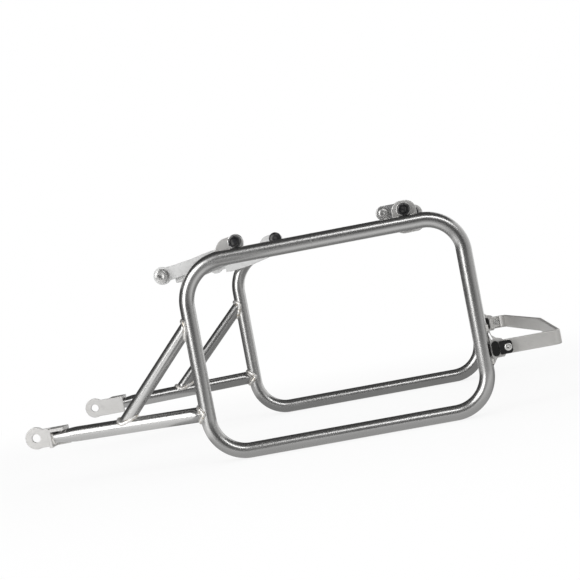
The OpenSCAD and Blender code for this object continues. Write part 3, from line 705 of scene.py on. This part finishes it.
# Radius of a hexagon with flats front and back: half its width over the cosine of the angle from the middle
# of the nearest flat
def hexRadius(half, angle):
    return half / np.cos((angle + math.pi / 6) % (math.pi / 3) - math.pi / 6)


# Places round a bolt's axis, which runs inboard, for arrays of depth, radius and angle
def aroundAxis(x, z, depth, radius, angle):
    swing = angle + math.pi / 2
    return np.stack([x + radius * np.sin(swing), depth + 0 * radius, z + radius * np.cos(swing)], -1)


# Each row of the profile is a circle about the axis, cut back to its hexagon where it has one
def turnedGrid(x, z, rows, look, loop=False):
    angle = circle(look["columns"])
    radius = np.array([row[1] for row in rows], float)[:, None] + 0 * angle
    for place, (_, _, half) in enumerate(rows):
        if half:
            radius[place] = np.minimum(radius[place], hexRadius(half, angle))
    depth = np.array([row[0] for row in rows], float)[:, None]
    return {"points": aroundAxis(x, z, depth, radius, angle), "loop": loop}


# Screw thread: the radius falls and rises once a pitch along the axis, and its phase turns with the angle
def threadGrid(x, z, span, radius, pitch, look):
    begin, end = span
    angle = circle(look["columns"])[None, :]
    depth = np.arange(begin, end, pitch / look["threadStep"])[:, None]
    phase = depth / pitch - angle / (2 * math.pi)
    wave = np.abs(2 * (phase - np.floor(phase)) - 1)
    cut = np.clip(look["threadSlope"] * wave - look["threadCrest"], 0, 1) * look["threadDepth"] * pitch
    taper = np.clip(np.minimum(depth - begin, end - depth) / pitch, 0, 1)
    spot = radius - cut * taper - (1 - taper) * look["threadEnd"] * pitch
    return {"points": aroundAxis(x, z, depth, spot, angle)}


# Head with a hexagon socket, from the socket's floor over the face to the seat. Its rim is a quarter circle,
# or its side a dome: the radius grows with a power of the sine and the depth with the square of the way out
def headRows(look, shared):
    seat, radius, socket, rim, dome = (look[key] for key in ("seat", "radius", "socket", "rim", "dome"))
    face, edge, mouth = seat - look["height"], shared["edge"], shared["mouthShare"] * socket
    floor, wide = face + look["deep"], radius + shared["clear"]
    drop, tip = shared["tip"]
    rows = [(floor + drop, tip, 0), (floor, shared["floorShare"] * socket, 0), (floor, wide, socket),
            (face + shared["mouthDepth"], wide, socket), (face, mouth, 0),
            (face, mouth + shared["mouthRing"], 0)]
    if dome:
        side = seat - face - shared["domeEdge"]
        rows += [(face + side * k * k,
                  dome + (radius - dome) * math.sin(k * math.pi / 2) ** shared["domePower"], 0)
                 for k in np.linspace(0, 1, shared["domeRows"])]
        rows += [(seat - edge, radius, 0)]
    else:
        rows += [(face + rim * (1 - math.cos(t)), radius - rim + rim * math.sin(t), 0)
                 for t in np.linspace(0, math.pi / 2, shared["rimRows"])]
        rows += [(seat - shared["rimEdge"], radius, 0)]
    return rows + [(seat, radius - edge, 0)]


# Shank under the head, with a narrower neck before the thread where it is undercut
def shankRows(look, shared):
    seat, body = look["seat"], look["body"]
    end = seat + look["clamped"]
    neck = [(end + depth, body - shared["neckDepth"], 0) for depth in shared["neck"]]
    return [(seat, body, 0), (end, body, 0)] + (neck if look["undercut"] else [])


def addScrew(sideName, kind, look, shared):
    x, z = look["x"], look["z"]
    grids = [turnedGrid(x, z, headRows(look, shared) + shankRows(look, shared), boltLook),
             threadGrid(x, z, look["thread"], look["body"], look["pitch"], boltLook)]
    nodes = [f"{sideName}_{look['slot']}"]
    addPiece(sideName + kind + "Screw", grids, sides[sideName], nodes, "bright_fastener", boltLook["sharp"])


# Rows of a hexagon's chamfer: the circle that limits it widens by the slope for each millimetre from the top
def chamferRows(top, radius, way, look):
    return [(top + way * t, radius + look["chamferSlope"] * t, look["across"])
            for t in np.arange(look["chamferRows"] + 1) / look["chamferRows"]]


# Bolts through the lugs, flanged heads inboard, and their nuts outboard
def addLugBolts(sideName, look):
    z, top, nutTop, nutBase = boltLook["level"], look["headTop"], look["nutTop"], look["nutBase"]
    head = [(top, look["headFlat"], 0)] + chamferRows(top, look["headCircle"], -1, look)
    head += [*look["flange"], (nutBase, look["body"], 0)]
    outer = chamferRows(nutTop, look["nutCircles"][0], 1, look)
    inner = chamferRows(nutBase, look["nutCircles"][1], -1, look)[:-1][::-1]
    hole, deep = look["nutHole"], look["nutRimDepth"]
    nut = [(nutTop + deep, hole, 0), (nutTop, look["nutRims"][0], 0)] + outer + inner
    nut += [(nutBase, look["nutRims"][1], 0), (nutBase - deep, hole, 0)]
    bolts, nuts = [], []
    for x in look["x"]:
        bolts += [turnedGrid(x, z, head, boltLook),
                  threadGrid(x, z, look["thread"], look["threadRadius"], look["pitch"], boltLook)]
        nuts.append(turnedGrid(x, z, nut, boltLook, True))
    side, sharp = sides[sideName], boltLook["sharp"]
    addPiece(sideName + "LugBolts", bolts, side, [sideName + "_lug_bolts"], "dark_fastener", sharp)
    addPiece(sideName + "LugNuts", nuts, side, [sideName + "_lug_nuts"], "dark_fastener", sharp)


# Washers: a flat ring with its outer rims rounded and its hole chamfered. Each is x, z, the face it lies on,
# its thickness, its radius and the radius of its hole
washerLook = {"rim": 0.35, "rimRows": 5, "sharp": 40, "sets": {
    "Frame": [(-24, boltLook["frontLevel"], 11.0, 1.5, 8.5, 4.25),
              (244, boltLook["level"], 11.0, 1.5, 8.0, 3.25)],
    "Lug": [(x, boltLook["level"], 6.9, 1.6, 8.5, 4.25) for x in lugBoltLook["x"]]}}


def washerGrid(look, x, z, begin, thick, outer, hole):
    rim = thick * look["rim"]
    end = begin + thick
    turns = np.linspace(0, math.pi / 2, look["rimRows"])
    rows = [(begin, hole + rim, 0)]
    rows += [(begin + rim - rim * math.cos(t), outer - rim + rim * math.sin(t), 0) for t in turns]
    rows += [(end - rim + rim * math.sin(t), outer - rim + rim * math.cos(t), 0) for t in turns]
    rows += [(end, hole + rim, 0), (end - rim, hole, 0), (begin + rim, hole, 0)]
    return turnedGrid(x, z, rows, boltLook, True)


def addWashers(sideName, look):
    for kind, rings in look["sets"].items():
        grids = [washerGrid(look, *ring) for ring in rings]
        nodes = [f"{sideName}_{kind.lower()}_washers"]
        addPiece(sideName + kind + "Washers", grids, sides[sideName], nodes, "washer", look["sharp"])


for sideName in sides:
    for kind, look in screwLook.items():
        addScrew(sideName, kind, look, headLook)
    addLugBolts(sideName, lugBoltLook)
    addWashers(sideName, washerLook)
print("fasteners made")

# Plates, stops, pads, the strap and its nuts: a merged copy of the solid, its edges broken by so many mm
edgeLook = {"foot_bracket": 0.6, "front_lug": 0.5, "rear_lug": 1.1, "front_bracket": 0.6, "rear_link": 0.5,
            "gusset": 0.4, "rubber_stop": 0.9, "strap_pad": 0.7, "rear_strap": 1.3, "strap_nut": 0.2}
bevelLook = {"segments": 3, "edgeAngle": 40, "sharpAngle": 32, "flatAngle": 1, "mergeGap": 1e-6}


# A node's words run together, each after the first with a capital
def pieceName(node):
    first, *rest = node.split("_")
    return first + "".join(word.title() for word in rest)


def addBroken(node, width, look):
    solid = bmesh.new()
    solid.from_mesh(frame["nodes"][node].data)
    bmesh.ops.remove_doubles(solid, verts=solid.verts, dist=look["mergeGap"])
    bmesh.ops.dissolve_limit(solid, angle_limit=math.radians(look["flatAngle"]), verts=solid.verts,
                             edges=solid.edges)
    mesh = bpy.data.meshes.new(node)
    solid.to_mesh(mesh)
    solid.free()
    for spare in [item.name for item in mesh.attributes if item.name == "custom_normal"]:
        mesh.attributes.remove(mesh.attributes[spare])
    mesh.shade_smooth()
    mesh.set_sharp_from_angle(angle=math.radians(look["sharpAngle"]))
    bevel = addObject(pieceName(node), mesh, [node], slots[node]).modifiers.new("brokenEdges", "BEVEL")
    bevel.width = width / 1000
    bevel.segments = look["segments"]
    bevel.limit_method = "ANGLE"
    bevel.angle_limit = math.radians(look["edgeAngle"])
    bevel.harden_normals = True
    bevel.use_clamp_overlap = False


for kind, width in edgeLook.items():
    for node in [name for name in frame["nodes"] if name.endswith(kind)]:
        addBroken(node, width, bevelLook)
print("plates, stops, pads and strap made")

# Floor and white surroundings: the paper clears to white between two distances from the middle, in metres
stageLook = {"size": 12.0, "floorTone": 0.80, "white": 0.80, "worldTone": 0.88, "clearFrom": 0.45,
             "clearTo": 1.1}


# Corners of a card across the room, from a near edge to a far edge, each at a depth and a height
def acrossCard(left, right, near, far):
    return (left, *near), (right, *near), (right, *far), (left, *far)


# Corners of a card that stands between two places on the floor, from its foot to its top
def standingCard(begin, end, top):
    return (*begin, 0.0), (*end, 0.0), (*end, top), (*begin, top)


# The same, but from its first upright edge to its second
def sidewaysCard(begin, end, top):
    return (*begin, 0.0), (*begin, top), (*end, top), (*end, 0.0)


# Cards that show only in the reflections on the steel, in metres. A stop is a share of the way from the first
# edge to the last, and the tone there. The tables lie just over the floor
tableNear, tableFar, tableBack = (-3.2, 0.0005), (0.6, 0.0005), (2.6, 0.0005)
cardLook = {
    "front": {"corners": standingCard((-0.9, -3.3), (2.6, -3.3), 1.75),
              "stops": ((0, 0.05), (0.6, 0.08), (1, 0.12))},
    "sky": {"corners": acrossCard(-3.4, 3.4, (-3.3, 1.75), (-1.3, 3.2)), "stops": ((0, 0.25), (1, 0.15))},
    "left": {"corners": sidewaysCard((-3.4, -0.9), (-0.9, -3.3), 2.6),
             "stops": ((0, 0.12), (0.3, 0.5), (0.6, 1.0), (1, 0.5))},
    "right": {"corners": sidewaysCard((2.6, -3.3), (3.4, 2.6), 2.6),
              "stops": ((0, 0.30), (0.4, 0.50), (1, 0.90))},
    "ceiling": {"corners": acrossCard(-3.4, 3.4, (2.6, 3.2), (-1.3, 3.2)), "stops": ((0, 0.06), (1, 0.06))},
    "back": {"corners": standingCard((-3.4, 2.6), (0.8, 2.6), 3.2), "stops": ((0, 0.08), (1, 0.06))},
    "leftWall": {"corners": standingCard((-3.4, -0.9), (-3.4, 2.6), 3.2), "stops": ((0, 0.07), (1, 0.07))},
    "table": {"corners": acrossCard(-0.03, 3.0, tableNear, tableFar),
              "stops": ((0, 0.12), (0.474, 0.20), (0.64, 0.44), (0.724, 0.85), (0.755, 0.65),
                        (0.79, 0.28), (0.868, 0.28), (0.934, 0.30), (1, 0.6))},
    "tableFoot": {"corners": acrossCard(-0.16, -0.03, tableNear, tableFar),
                  "stops": ((0, 0.12), (0.474, 0.20), (0.66, 0.22), (0.745, 0.22), (0.757, 0.63),
                            (0.79, 0.28), (0.868, 0.28), (0.934, 0.30), (1, 0.6))},
    "tableStay": {"corners": acrossCard(-0.55, -0.16, tableNear, tableFar),
                  "stops": ((0, 0.4), (0.6, 0.8), (0.70, 1.3), (0.74, 1.05), (0.77, 0.85), (0.80, 0.7),
                            (1, 0.4))},
    "tableLeft": {"corners": acrossCard(-3.4, -0.55, tableNear, tableBack), "stops": ((0, 0.15), (1, 0.15))},
}
lampLook = {
    "overheadBox": {"place": (1.15, -2.1, 2.15), "aim": (1.0, -0.2, 0.1), "size": (2.7, 0.68), "power": 17.5},
    "overheadFill": {"place": (-1.8, -2.0, 1.95), "aim": (-0.3, -0.2, 0.1), "size": (1.6, 0.8), "power": 9},
    "leftBox": {"place": (-1.65, -2.3, 0.8), "aim": (0, -0.2, 0.1), "size": (1.4, 1.6), "power": 19},
}


# 1 on camera, glossy and transmission rays, and 0 on the others
def seenWhite(paint):
    camera, glossy, through = [paint.node("ShaderNodeLightPath", output=place) for place in (0, 3, 6)]
    return (camera + glossy + through).math("MINIMUM", 1.0)


def addFlat(name, corners, faces, material):
    mesh = bpy.data.meshes.new(name)
    mesh.from_pydata(corners, [], faces)
    mesh.materials.append(material)
    flat = bpy.data.objects.new(name, mesh)
    bpy.context.collection.objects.link(flat)
    return flat


# Grey paper under the rack takes its shadow, and clears to plain white away from it
def addFloor(look):
    paint = Paint("floorPaper")
    far = paint.node("ShaderNodeVectorMath", {"operation": "LENGTH"}, output=1, n0=paint.place())
    clear = paint.node("ShaderNodeMapRange", {"interpolation_type": "SMOOTHSTEP"}, n0=far,
                       n1=look["clearFrom"], n2=look["clearTo"], n3=look["white"], n4=1.0)
    diffuse = paint.node("ShaderNodeBsdfDiffuse", Color=(look["floorTone"],) * 3 + (1,))
    white = paint.node("ShaderNodeEmission", Color=(1, 1, 1, 1), Strength=1.0)
    mixed = paint.node("ShaderNodeMixShader", n0=seenWhite(paint) * clear, n1=diffuse, n2=white)
    paint.node("ShaderNodeOutputMaterial", Surface=mixed)
    half, level = look["size"] / 2, float(cadLow[2])
    corners = [(-half, -half, level), (half, -half, level), (half, half, level), (-half, half, level)]
    addFlat("floorPaper", corners, [(0, 1, 2, 3)], paint.owner)


# A card is a row of flat panels, and its tone runs evenly from stop to stop
def addCard(name, look):
    paint = Paint(name + "Card")
    tone = paint.node("ShaderNodeAttribute", {"attribute_name": "tone"})
    glow = paint.node("ShaderNodeEmission", Color=tone, Strength=1.0)
    paint.node("ShaderNodeOutputMaterial", Surface=glow)
    a, b, c, d = np.array(look["corners"])
    share, tones = np.array(look["stops"]).T
    edges = np.stack([a + (d - a) * share[:, None], b + (c - b) * share[:, None]], 1).reshape(-1, 3)
    faces = [(2 * k, 2 * k + 1, 2 * k + 3, 2 * k + 2) for k in range(len(share) - 1)]
    card = addFlat(name + "Card", edges.tolist(), faces, paint.owner)
    card.data.attributes.new("tone", "FLOAT", "POINT").data.foreach_set("value", np.repeat(tones, 2))
    card.visible_camera = card.visible_diffuse = card.visible_shadow = card.visible_transmission = False


def addArea(name, look):
    data = bpy.data.lights.new(name, "AREA")
    data.shape = "RECTANGLE"
    data.size, data.size_y = look["size"]
    data.energy = look["power"]
    lamp = bpy.data.objects.new(name, data)
    lamp.location = look["place"]
    lamp.rotation_euler = (Vector(look["aim"]) - Vector(look["place"])).to_track_quat("-Z", "Y").to_euler()
    bpy.context.collection.objects.link(lamp)


def addWorld(look):
    paint = Paint("studio", "worlds")
    strength = seenWhite(paint) * (1.0 - look["worldTone"]) + look["worldTone"]
    plain = paint.node("ShaderNodeBackground", Color=(1, 1, 1, 1), Strength=strength)
    paint.node("ShaderNodeOutputWorld", Surface=plain)
    bpy.context.scene.world = paint.owner


addFloor(stageLook)
for name, look in cardLook.items():
    addCard(name, look)
for name, look in lampLook.items():
    addArea(name, look)
addWorld(stageLook)
bpy.context.scene.view_settings.view_transform = "Standard"
print("stage and lights made")
